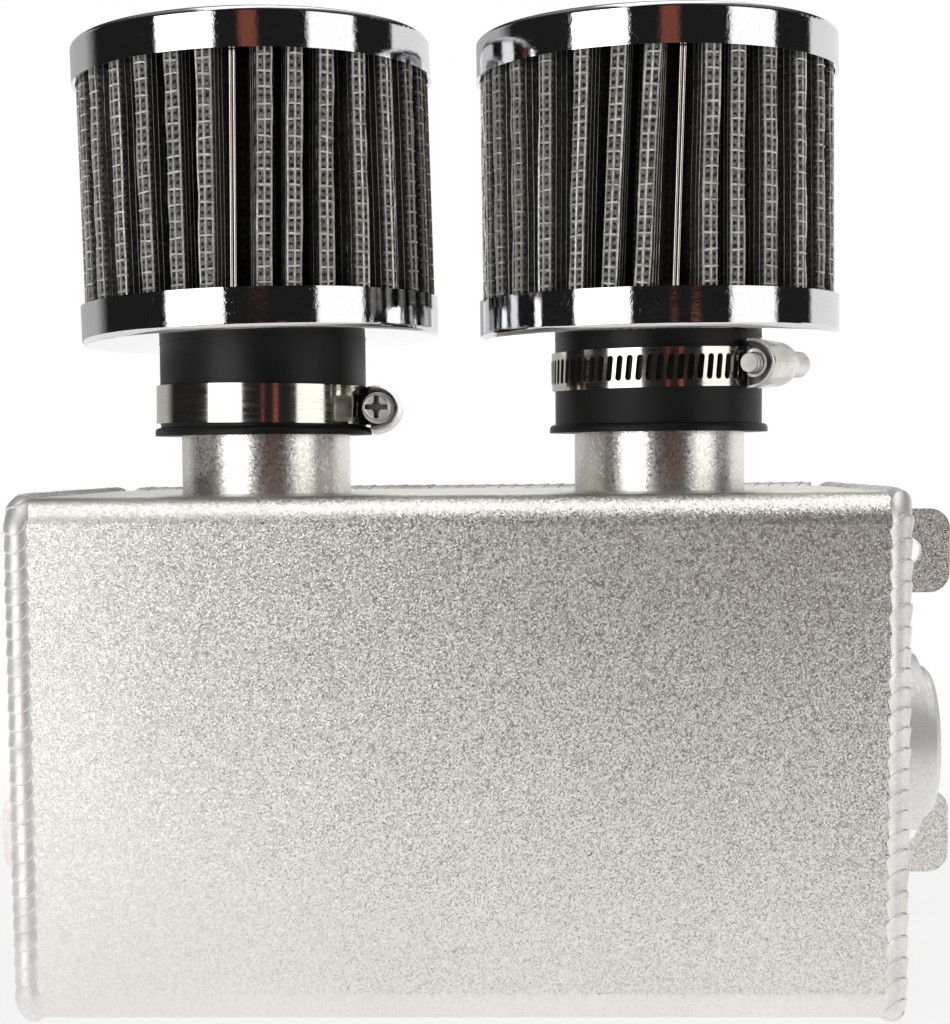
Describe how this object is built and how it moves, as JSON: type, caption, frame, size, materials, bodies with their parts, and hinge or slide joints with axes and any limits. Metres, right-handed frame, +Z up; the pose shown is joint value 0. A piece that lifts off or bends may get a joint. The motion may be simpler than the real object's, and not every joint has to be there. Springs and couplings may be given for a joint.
{
  "type": "oil catch can",
  "caption": "Welded aluminium oil catch can: boxy tank with a threaded end port, rear bolt-on tabs, and clamp-on pleated breather filters with chromed caps standing on its top necks.",
  "frame": {"origin": "centre of the overall box, on the plane the end weld beads stand on", "axes": "+X towards the end with the threaded port, +Y towards the wall the tabs bolt to, +Z up towards the filters"},
  "size_m": [0.229, 0.104, 0.1985],
  "materials": {
    "blasted_aluminium": "satin",
    "weld_bead": "satin",
    "chrome_plate": "polished",
    "mesh_media": "matte",
    "clip_steel": "satin",
    "clamp_steel": "polished",
    "black_rubber": "satin"
  },
  "bodies": {
    "can": {"baffle_plate": "blasted_aluminium", "left_cap_pad": "black_rubber", "left_clamp_band": "clamp_steel", "left_clamp_housing": "clamp_steel", "left_end_plate": "blasted_aluminium", "left_end_weld": "weld_bead", "left_filter_base": "chrome_plate", "left_filter_cap": "chrome_plate", "left_filter_media": "mesh_media", "left_filter_neck": "black_rubber", "left_neck_tube": "blasted_aluminium", "left_seam_clip": "clip_steel", "lower_left_tab": "blasted_aluminium", "lower_right_tab": "blasted_aluminium", "port_bung": "blasted_aluminium", "rear_bottom_weld": "weld_bead", "rear_plate": "blasted_aluminium", "rear_top_weld": "weld_bead", "right_cap_pad": "black_rubber", "right_clamp_band": "clamp_steel", "right_clamp_housing": "clamp_steel", "right_end_plate": "blasted_aluminium", "right_end_weld": "weld_bead", "right_filter_base": "chrome_plate", "right_filter_cap": "chrome_plate", "right_filter_media": "mesh_media", "right_filter_neck": "black_rubber", "right_neck_tube": "blasted_aluminium", "right_seam_clip": "clip_steel", "tab_welds": "weld_bead", "tank_shell": "blasted_aluminium", "upper_left_tab": "blasted_aluminium", "upper_right_tab": "blasted_aluminium"},
    "left_screw": {"left_clamp_screw": "clamp_steel"},
    "right_screw": {"right_clamp_screw": "clamp_steel"}
  },
  "joints": [
    {"name": "left_screw_turn", "type": "hinge", "parent": "can", "child": "left_screw", "pos_m": [-0.01747, -0.00032, 0.12061], "axis": [-0.0175, 0.9998, -0.005], "continuous": true},
    {"name": "right_screw_turn", "type": "hinge", "parent": "can", "child": "right_screw", "pos_m": [0.06225, -0.01567, 0.12898], "axis": [-0.5807, -0.8141, -0.0126], "continuous": true}
  ]
}
